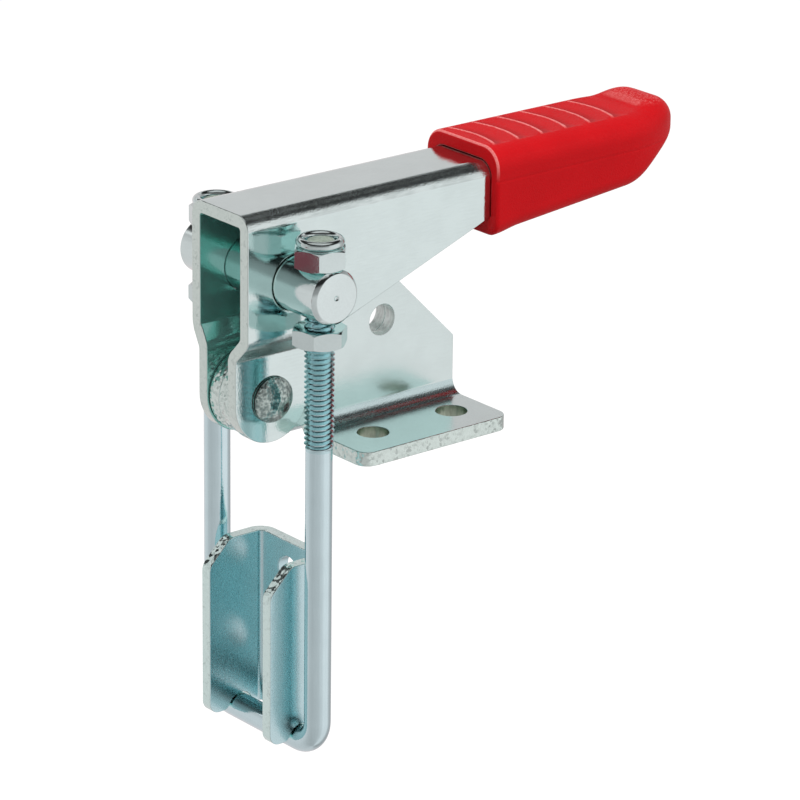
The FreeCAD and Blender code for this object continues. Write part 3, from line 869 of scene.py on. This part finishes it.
@dataclass
class BaseBracket:
    """Two L plates back to back, and the rivet that the lever turns on."""

    sheet: float = 4.0 * MM
    # material numbers: painted shade on the bolt holes' walls, painted light on the side hole's
    # walls, painted shade on the bends
    painted_shade_bolt_wall: int = 3
    painted_light_side_wall: int = 4
    corner: int = 5
    edge_break: float = 0.25 * MM
    rivet_break: float = 0.3 * MM

    def build(self) -> None:
        """Makes both plates and the rivet."""
        for side in Side:
            self.plate(side)
        self.rivet()

    def plate(self, side: Side) -> None:
        """Makes one L plate."""
        node = f"base_plate_{side.word}"
        plate = Workpiece.from_node(node, f"{side.word}_l_plate")
        plate.mark_edges(self.sheet)
        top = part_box(node)[0].z + self.sheet
        # painted shade on the bolt holes' walls
        plate.mark(
            self.painted_shade_bolt_wall,
            lambda face: abs(face.normal.z) < 0.1
            and abs(face.center.y) > 2 * self.sheet
            and face.center.z < top,
        )
        # painted light on the side hole's walls
        plate.mark(
            self.painted_light_side_wall,
            lambda face: face.center.z > top + self.sheet and abs(face.normal.y) < 0.3,
        )
        # painted shade on the bends
        plate.mark(self.corner, is_bent)
        plate.clean_flats()
        # painted dark reflection along the rounded edges
        plate.break_edges(self.edge_break, finish=Skin.EDGE_LINE_PAINTED_DARK)
        finishes = (PLATE_ZINC, PLATE_EDGE, EDGE_LINE_PAINTED_DARK_FINISH, HOLE_WALL_PAINTED_SHADE, SIDE_WALL_PAINTED_LIGHT, CORNER_ZINC_PAINTED_SHADE)
        plate.hand_over(node, Body.BASE, "zinc_sheet", *finishes)

    def rivet(self) -> None:
        """Makes the pivot rivet."""
        rivet = Workpiece.from_node("pivot_rivet", "domed_rivet")
        rivet.clean_flats()
        # painted shade on the head's steep rim
        for face in rivet.mesh.polygons:
            face.material_index = int(abs(face.normal.y) < 0.45)
        rivet.break_edges(self.rivet_break)
        rivet.hand_over("pivot_rivet", Body.BASE, "rivet_steel", RIVET_ZINC, RIVET_RIM_PAINTED_SHADE)


@dataclass
class FoldedLever:
    """The channel that is folded from one sheet and carries the cross bar."""

    sheet: float = 3.5 * MM
    half_width: float = 12.0 * MM
    edge_break: float = 0.25 * MM
    # material number for the painted shade on the inner faces
    inside: int = 3
    fold: int = 4

    def build(self) -> None:
        """Makes the channel."""
        channel = Workpiece.from_node("lever_channel", "folded_channel")
        channel.mark_edges(self.sheet)
        # painted shade on the channel's inner faces
        channel.mark(self.inside, lambda face: face.normal.y * face.center.y < 0)
        channel.mark(
            self.inside,
            lambda face: face.normal.z < -0.7 and abs(face.center.y) < self.half_width,
        )
        channel.mark(self.fold, is_bent)
        channel.clean_flats()
        # painted dark reflection along the rounded edges
        channel.break_edges(self.edge_break, finish=Skin.EDGE_LINE_PAINTED_DARK)
        finishes = (SHEET_ZINC, BLANKED_EDGE, EDGE_LINE_PAINTED_DARK_FINISH, INNER_ZINC_PAINTED_SHADE, FOLD_ZINC)
        channel.hand_over("lever_channel", Body.LEVER, "lever_steel", *finishes)


@dataclass
class MouldedGrip:
    """The ribbed red grip, moulded in two halves."""

    voxel: float = 0.30 * MM
    smoothing: int = 2
    kept_share: float = 0.6
    rib_reach: float = 9.6 * MM
    rib_floor: float = 73.1 * MM
    rib_bead: float = 0.2 * MM
    bead_start: float = -0.7 * MM
    bead_end: float = 0.1 * MM
    parting_height: float = 64.7 * MM
    parting_width: float = 0.17 * MM
    parting_depth: float = 0.12 * MM
    flank: float = 14.0 * MM
    nose: float = 78.0 * MM

    def build(self) -> None:
        """Makes the grip with the rounded edges of a moulding."""
        grip = Workpiece.from_node("hand_grip", "ribbed_grip")
        grip.modify("REMESH", mode="VOXEL", voxel_size=self.voxel, use_smooth_shade=True)
        grip.modify("SMOOTH", factor=0.5, iterations=self.smoothing)
        grip.swell(self.on_parting_line, -self.parting_depth)
        grip.swell(self.on_rib_crest, self.rib_bead)
        grip.modify("DECIMATE", ratio=self.kept_share)
        grip.hand_over("hand_grip", Body.LEVER, "red_grip", GRIP_RED)

    def on_rib_crest(self, point: Vector) -> bool:
        """Tells whether a point lies on the crest of a rib."""
        if point.z < self.rib_floor or abs(point.y) > self.rib_reach:
            return False
        for index in range(RIBS.count):
            axis = RIBS.first + index * RIBS.pitch - RIBS.radius
            past = math.hypot(point.x - axis, point.y) - RIBS.radius
            if self.bead_start < past < self.bead_end:
                return point.x > axis
        return False

    def on_parting_line(self, point: Vector) -> bool:
        """Tells whether a point lies where the two mould halves met."""
        outside = abs(point.y) > self.flank or point.x > self.nose
        return outside and abs(point.z - self.parting_height) < self.parting_width


@dataclass
class CrossBar:
    """The drilled round bar that the U-bolt hangs from."""

    edge_break: float = 0.2 * MM

    def build(self) -> None:
        """Makes the bar."""
        bar = Workpiece.from_node("cross_bar", "drilled_bar")
        bar.clean_flats()
        bar.break_edges(self.edge_break)
        bar.hand_over("cross_bar", Body.U_BOLT, "turned_steel", BAR_ZINC)


@dataclass
class ThreadedUBolt:
    """The bent rod with a rolled thread on each leg."""

    crest: float = 4.0 * MM
    root: float = 3.14 * MM
    shank: float = 3.6 * MM
    pitch: float = 1.41 * MM
    thread: float = 57.5 * MM
    bend: float = 7.5 * MM
    run_out: float = 2.0 * MM
    seam: float = 0.3 * MM
    stub: float = 1.0 * MM
    chamfer: float = 0.35 * MM
    crest_flat: float = 0.08
    flank: float = 0.86
    sides: int = 40
    bend_steps: int = 14
    profile_cuts: int = 7
    spare_turns: int = 3
    end_face: int = 1
    thread_face: int = 2

    def __post_init__(self) -> None:
        """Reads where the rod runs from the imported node."""
        low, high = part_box("u_bolt")
        self.x = (low.x + high.x) / 2
        self.top = high.z
        self.leg = high.y - self.crest
        self.bottom = low.z + self.shank

    def build(self) -> None:
        """Makes the rod and its two threads as one piece."""
        rod = self.rod()
        screws = [self.screw(side) for side in Side]
        self.join(rod, screws)
        rod.mark(
            self.end_face,
            lambda face: face.normal.z > 0.9 and face.center.z > self.top - 0.05 * MM,
        )
        rod.mark(self.thread_face, lambda face: face.center.z > self.thread_end)
        rod.hand_over("u_bolt", Body.U_BOLT, "threaded_steel", ROD_ZINC, STUD_END, THREAD_ZINC)

    @property
    def thread_end(self) -> float:
        """The height where the thread runs out into the shank."""
        return self.top - self.thread

    def rod(self) -> Workpiece:
        """Bends the plain rod from a circle at the end of the near thread.

        Returns:
            The open bent tube.
        """
        start = Vector((self.x, -self.leg, self.thread_end - self.seam))
        bpy.ops.mesh.primitive_circle_add(vertices=self.sides, radius=self.shank, location=start)
        rod = Workpiece.adopt("threaded_u_bolt")
        rod.take_up()
        bpy.ops.object.transform_apply(location=True, rotation=True, scale=True)
        rod.open()
        down = self.bottom + self.bend - start.z + self.stub
        self.pull(Vector((0, 0, -self.stub)))
        self.pull(Vector((0, 0, down)))
        self.turn(Vector((self.x, -self.leg + self.bend, self.bottom + self.bend)))
        self.pull(Vector((0, 2 * (self.leg - self.bend), 0)))
        self.turn(Vector((self.x, self.leg - self.bend, self.bottom + self.bend)))
        self.pull(Vector((0, 0, -down)))
        self.pull(Vector((0, 0, self.stub)))
        rod.close()
        return rod

    def pull(self, step: Vector) -> None:
        """Extrudes the picked loop along a straight stretch."""
        bpy.ops.mesh.extrude_region_move(TRANSFORM_OT_translate={"value": step})

    def turn(self, centre: Vector) -> None:
        """Spins the picked loop through a quarter turn round a centre."""
        quarter = -math.pi / 2
        bpy.ops.mesh.spin(steps=self.bend_steps, angle=quarter, center=centre, axis=(1, 0, 0))

    def screw(self, side: Side) -> Workpiece:
        """Turns one thread from its profile.

        Args:
            side: The leg that it stands on.

        Returns:
            The thread, closed at its top and open at its foot.
        """
        bpy.ops.mesh.primitive_plane_add(size=self.pitch, location=(0, 0, 0))
        thread = Workpiece.adopt(f"{side.word}_thread")
        thread.pick_points(lambda point: point.x < 0)
        bpy.ops.mesh.delete(type="VERT")
        bpy.ops.mesh.select_all(action="SELECT")
        bpy.ops.mesh.subdivide(number_cuts=self.profile_cuts)
        thread.close()
        self.shape_profile(thread)
        turns = math.ceil(self.thread / self.pitch) + self.spare_turns
        thread.modify(
            "SCREW",
            axis="Z",
            angle=FULL_TURN,
            screw_offset=self.pitch,
            iterations=turns,
            steps=self.sides,
            render_steps=self.sides,
            use_smooth_shade=True,
        )
        thread.open()
        bpy.ops.mesh.remove_doubles(threshold=WELD)
        self.cut_thread(thread, side)
        return thread

    def shape_profile(self, thread: Workpiece) -> None:
        """Sets the points of one pitch to a 60 degree profile with blunt crests."""
        for point in thread.mesh.vertices:
            depth = abs(2 * point.co.y / self.pitch)
            fall = min(max((depth - self.crest_flat) / self.flank, 0.0), 1.0)
            radius = self.root + (self.crest - self.root) * (1 - fall)
            point.co = Vector((radius, 0, point.co.y))

    def cut_thread(self, thread: Workpiece, side: Side) -> None:
        """Cuts the thread to length, tapers its ends and stands it on its leg.

        Args:
            thread: The thread, which starts one pitch below its foot.
            side: The leg that it stands on.
        """
        foot = self.pitch
        bpy.ops.mesh.bisect(
            plane_co=(0, 0, foot), plane_no=(0, 0, 1), clear_inner=True, threshold=WELD
        )
        bpy.ops.mesh.select_all(action="SELECT")
        bpy.ops.mesh.bisect(
            plane_co=(0, 0, foot + self.thread),
            plane_no=(0, 0, 1),
            clear_outer=True,
            use_fill=True,
            threshold=WELD,
        )
        thread.close()
        shift = Vector((self.x, side.value * self.leg, self.thread_end - foot))
        for point in thread.mesh.vertices:
            radius = math.hypot(point.co.x, point.co.y)
            if radius > WELD:
                wanted = self.tapered(radius, point.co.z - foot)
                point.co.x *= wanted / radius
                point.co.y *= wanted / radius
            point.co += shift

    def tapered(self, radius: float, height: float) -> float:
        """Gives a thread point's radius after the run-out and the top chamfer.

        Args:
            radius: The radius in the full thread.
            height: The height over the thread's foot.

        Returns:
            The radius to use.
        """
        share = min(height / self.run_out, 1.0)
        eased = share * share * (3 - 2 * share)
        run_out = self.shank + (radius - self.shank) * eased
        chamfered = self.crest - self.chamfer + (self.thread - height)
        return min(run_out, chamfered)

    def join(self, rod: Workpiece, screws: list[Workpiece]) -> None:
        """Joins the threads to the rod and bridges the seams."""
        rod.take_up()
        for screw in screws:
            screw.thing.select_set(True)
        bpy.ops.object.join()
        for side in Side:
            rod.pick_points(lambda point: self.at_seam(point) and point.y * side.value > 0)
            bpy.ops.mesh.select_mode(type="EDGE")
            bpy.ops.mesh.bridge_edge_loops()
            rod.close()
        rod.open()
        bpy.ops.mesh.normals_make_consistent(inside=False)
        rod.close()
        rod.take_up()
        bpy.ops.object.shade_smooth_by_angle(angle=THREAD_ANGLE)

    def at_seam(self, point: Vector) -> bool:
        """Tells whether a point lies on a thread's foot or on the rod's end just below it."""
        over = point.z - self.thread_end
        return min(abs(over), abs(over + self.seam)) < 5 * WELD


@dataclass
class Nuts:
    """The lock nuts with their nylon rings, and the plain nuts below the bar."""

    edge_break: float = 0.32 * MM
    ring_sink: float = 0.5 * MM
    collar_sink: float = 0.9 * MM
    collar: float = 1.2 * MM
    bead_ring: float = 5.15 * MM
    bead: float = 1.25 * MM
    bead_steps: int = 72
    bead_sides: int = 24
    plain_height: float = 4.8 * MM

    def build(self) -> None:
        """Makes the six pieces."""
        for side in Side:
            self.lock_nut(f"lock_nut_{side.word}", f"{side.word}_crowned_nut")
            self.ring(f"nylon_ring_{side.word}", f"{side.word}_lock_ring")
            self.plain_nut(f"plain_nut_{side.word}", f"{side.word}_hex_nut")

    def lock_nut(self, node: str, name: str) -> None:
        """Makes a lock nut whose collar is rolled in to a round bead.

        Args:
            node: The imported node.
            name: The new piece's name.
        """
        low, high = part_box(node)
        nut = Workpiece.from_node(node, name)
        nut.lift(lambda point: point.z > high.z - self.collar, -self.collar_sink)
        nut.clean_flats()
        nut.break_edges(self.edge_break, clamp=True)
        middle = Vector(((low.x + high.x) / 2, (low.y + high.y) / 2, high.z - self.bead))
        bpy.ops.mesh.primitive_torus_add(
            location=middle,
            major_radius=self.bead_ring,
            minor_radius=self.bead,
            major_segments=self.bead_steps,
            minor_segments=self.bead_sides,
        )
        roll = Workpiece.adopt("rolled_bead")
        nut.modify("BOOLEAN", operation="UNION", solver="EXACT", object=roll.thing)
        bpy.data.objects.remove(roll.thing)
        nut.take_up()
        bpy.ops.object.shade_smooth_by_angle(angle=SHARP_ANGLE)
        nut.hand_over(node, Body.U_BOLT, "nut_steel", NUT_ZINC)

    def ring(self, node: str, name: str) -> None:
        """Makes a nylon ring, flush with the end of the stud."""
        ring = Workpiece.from_node(node, name)
        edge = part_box(node)[1].z - self.ring_sink
        ring.lift(lambda point: point.z > edge, -self.ring_sink)
        ring.clean_flats()
        ring.break_edges(self.edge_break, clamp=True)
        ring.hand_over(node, Body.U_BOLT, "nylon", RING_NYLON)

    def plain_nut(self, node: str, name: str) -> None:
        """Makes a plain nut, as thin as a jam nut."""
        low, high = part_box(node)
        nut = Workpiece.from_node(node, name)
        rise = high.z - low.z - self.plain_height
        nut.lift(lambda point: point.z < (low.z + high.z) / 2, rise)
        nut.clean_flats()
        nut.break_edges(self.edge_break, clamp=True)
        nut.hand_over(node, Body.U_BOLT, "nut_steel", NUT_ZINC)


@dataclass
class CatchPlate:
    """The notched channel that the U-bolt's bow pulls on."""

    sheet: float = 3.5 * MM
    edge_break: float = 0.25 * MM

    def build(self) -> None:
        """Makes the catch."""
        catch = Workpiece.from_node("catch_plate", "notched_catch")
        catch.mark_edges(self.sheet)
        catch.clean_flats()
        # painted dark reflection along the rounded edges
        catch.break_edges(self.edge_break, finish=Skin.EDGE_LINE_PAINTED_DARK)
        finishes = (CATCH_ZINC, CATCH_EDGE, EDGE_LINE_PAINTED_DARK_FINISH)
        catch.hand_over("catch_plate", Body.U_BOLT, "catch_steel", *finishes)


# Studio


@dataclass
class Studio:
    """The camera, the pale floor and the light."""

    azimuth: float = -39.59
    elevation: float = 20.03
    roll: float = 0.72
    target: Vector = Vector((8.84 * MM, 0, 3.39 * MM))
    distance: float = 1.1833
    lens: float = 196.93
    sensor: float = 36
    floor_drop: float = 70 * MM
    floor_size: float = 12
    floor_grey: Colour = (0.3, 0.3, 0.3)
    floor_glow: float = 0.8
    card_way: Triple = (-0.9205, 0.189, -0.342)
    card_distance: float = 60 * MM
    card_size: float = 15 * MM
    card_red: Colour = (0.30, 0.035, 0.06)
    card_brown: Colour = (0.12, 0.10, 0.10)
    card_blotch: float = 2.5 * MM
    room_tint: Colour = (0.985, 0.825, 0.84)
    strip_light: float = 1.6
    low_box_light: float = 0.5
    shade_behind: float = 0.4
    dim: Colour = (0.42, 0.42, 0.42)
    light: Colour = (0.72, 0.72, 0.72)

    def build(self) -> None:
        """Sets up the whole studio."""
        self.camera()
        self.floor()
        self.card()
        self.world()
        self.lamps()
        bpy.context.scene.view_settings.view_transform = "Standard"

    def camera(self) -> None:
        """Sets the camera at the photograph's viewing angle."""
        az = math.radians(self.azimuth)
        el = math.radians(self.elevation)
        roll = math.radians(self.roll)
        back = Vector((math.sin(az) * math.cos(el), -math.cos(az) * math.cos(el), math.sin(el)))
        level = Vector((math.cos(az), math.sin(az), 0))
        upright = back.cross(level)
        right = level * math.cos(roll) + upright * math.sin(roll)
        up = upright * math.cos(roll) - level * math.sin(roll)
        data = bpy.data.cameras.new("view")
        data.lens = self.lens
        data.sensor_width = self.sensor
        data.clip_start = 0.01
        camera = bpy.data.objects.new("view", data)
        turn = Matrix((right, up, back)).transposed().to_4x4()
        camera.matrix_world = Matrix.Translation(self.target + back * self.distance) @ turn
        bpy.context.scene.collection.objects.link(camera)
        bpy.context.scene.camera = camera

    def floor(self) -> None:
        """Lays a pale floor that shows white to the camera and still takes the shadow."""
        low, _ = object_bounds()
        place = Vector((0, 0, low.z - self.floor_drop))
        bpy.ops.mesh.primitive_plane_add(size=self.floor_size, location=place)
        floor = Workpiece.adopt("studio_floor")
        bench = self.stage_paint(floor)
        chalk = bench.node("ShaderNodeBsdfDiffuse", None, {"Color": (*self.floor_grey, 1.0)})
        glow = self.glow(bench, WHITE, self.floor_glow)
        both = bench.node("ShaderNodeAddShader", None, {0: bench.flow(chalk), 1: glow})
        self.show_to(bench, "Is Camera Ray", bench.flow(both))
        floor.thing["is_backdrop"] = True

    def card(self) -> None:
        """Holds up a small dark red card, which only metal sees, for one facet of a lock nut."""
        away = Vector(self.card_way)
        low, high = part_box("lock_nut_near")
        place = (low + high) / 2 + away * self.card_distance
        turn = away.to_track_quat("Z", "Y").to_euler()
        bpy.ops.mesh.primitive_plane_add(size=self.card_size, location=place, rotation=turn)
        card = Workpiece.adopt("studio_card")
        bench = self.stage_paint(card)
        mottle = bench.noise(self.card_blotch, bench.place(), 4.0, 0.7).between(0.4, 0.6)
        colour = bench.mix(mottle, self.card_red, self.card_brown)
        self.show_to(bench, "Is Glossy Ray", self.glow(bench, colour, 1.0))
        card.thing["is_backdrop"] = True

    def stage_paint(self, plane: Workpiece) -> Bench:
        """Gives a plane of the stage its own empty material."""
        paint = bpy.data.materials.new(f"{plane.thing.name}_paint")
        paint.use_nodes = True
        plane.mesh.materials.append(paint)
        return Bench(paint.node_tree)

    def glow(self, bench: Bench, colour: Flow | Colour, strength: float) -> Flow:
        """Gives a shader that shines by itself."""
        shown = colour if isinstance(colour, Flow) else (*colour, 1.0)
        inputs = {"Color": shown, "Strength": strength}
        return bench.flow(bench.node("ShaderNodeEmission", None, inputs))

    def show_to(self, bench: Bench, ray: str, shader: Flow) -> None:
        """Shows a shader to one kind of ray, and lets the others through."""
        clear = bench.flow(bench.node("ShaderNodeBsdfTransparent"))
        shown = bench.node("ShaderNodeMixShader", None, {0: bench.ray(ray), 1: clear, 2: shader})
        bench.node("ShaderNodeOutputMaterial", None, {"Surface": bench.flow(shown)})

    def world(self) -> None:
        """Hangs a pale room round the object, whose walls and ceiling only metal and gloss see."""
        world = bpy.data.worlds.new("studio")
        bpy.context.scene.world = world
        world.use_nodes = True
        bench = Bench(world.node_tree)
        x, y, z = bench.split(bench.flow(bench.node("ShaderNodeTexCoord"), "Generated"))
        mirrored = bench.mix(self.room(bench, x, y, z), BLACK, self.room_tint)
        soft = bench.mix(z.between(-0.6, 0.8), self.dim, self.light)
        unseen = bench.mix(bench.ray("Is Glossy Ray"), soft, mirrored)
        colour = bench.mix(bench.ray("Is Camera Ray"), unseen, WHITE)
        sky = bench.node("ShaderNodeBackground", None, {"Color": colour, "Strength": 1.0})
        bench.node("ShaderNodeOutputWorld", None, {"Surface": bench.flow(sky)})

    def room(self, bench: Bench, x: Flow, y: Flow, z: Flow) -> Flow:
        """Gives the brightness of the mirrored room.

        Args:
            bench: Where the nodes go.
            x: How far a direction points along X.
            y: How far it points along Y.
            z: How far it points up.

        Returns:
            The brightness in that direction.
        """
        compass = bench.math("ARCTAN2", y, x) * (1 / FULL_TURN) + 0.5
        around = bench.ramp(compass, self.walls())
        upward = bench.ramp(z * 0.5 + 0.5, self.heights(), "LINEAR")
        strip = z.between(0.44, 0.47) * (1 - z.between(0.50, 0.54)) * y.between(0.1, 0.35)
        low_box = z.between(0.16, 0.26) * (1 - z.between(0.42, 0.5))
        low_box = low_box * (1 - y.between(-0.6, -0.4)) * x.between(0.0, 0.3)
        behind = (x * -0.637 + y * -0.770).between(0.45, 0.75) * z.between(-0.05, 0.2)
        walls = around * upward * (1 - self.shade_behind * behind)
        return walls + strip * self.strip_light + low_box * self.low_box_light

    def walls(self) -> Stops:
        """Gives the wall's brightness by compass angle, from -180 to 180 degrees.

        Returns:
            The ramp's stops.
        """
        west = {-180: 0.62, -150: 0.66, -125: 0.70, -100: 0.82, -72: 1.0, -40: 1.0, -12: 0.62}
        east = {6: 0.5, 30: 0.7, 50: 0.86, 90: 0.88, 130: 0.82, 160: 0.66, 180: 0.62}
        return [((angle + 180) / 360, value) for angle, value in (west | east).items()]

    def heights(self) -> Stops:
        """Gives the brightness by height, from straight down to straight up.

        Returns:
            The ramp's stops.
        """
        low = {-1.0: 0.85, -0.34: 1.0, 0.1: 1.0, 0.34: 0.86, 0.48: 0.7}
        ceiling = {0.6: 0.05, 0.82: 0.03, 0.9: 0.8, 1.0: 1.0}
        return [((height + 1) / 2, value) for height, value in (low | ceiling).items()]

    def lamps(self) -> None:
        """Hangs the soft boxes that shape the plastic."""
        self.lamp("top_box", Vector((-0.25, -0.1, 0.8)), 0.6, 3.2)
        self.lamp("side_box", Vector((0.5, -0.8, 0.25)), 0.5, 2.2)

    def lamp(self, name: str, place: Vector, size: float, power: float) -> None:
        """Hangs one square soft box that faces the object.

        Args:
            name: Its name.
            place: Where it hangs.
            size: The length of a side.
            power: Its power in watts.
        """
        data = bpy.data.lights.new(name, "AREA")
        data.size = size
        data.energy = power
        box = bpy.data.objects.new(name, data)
        box.location = place
        box.rotation_euler = (self.target - place).to_track_quat("-Z", "Y").to_euler()
        box.visible_glossy = False
        bpy.context.scene.collection.objects.link(box)


def main() -> None:
    """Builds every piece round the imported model, then the studio."""
    logging.basicConfig(level=logging.INFO, format="%(message)s")
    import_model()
    assemblies = (BaseBracket, FoldedLever, MouldedGrip, CrossBar, ThreadedUBolt, Nuts, CatchPlate)
    for assembly in assemblies:
        LOG.info("building %s", assembly.__name__)
        assembly().build()
    Studio().build()


if __name__ == "__main__":
    main()
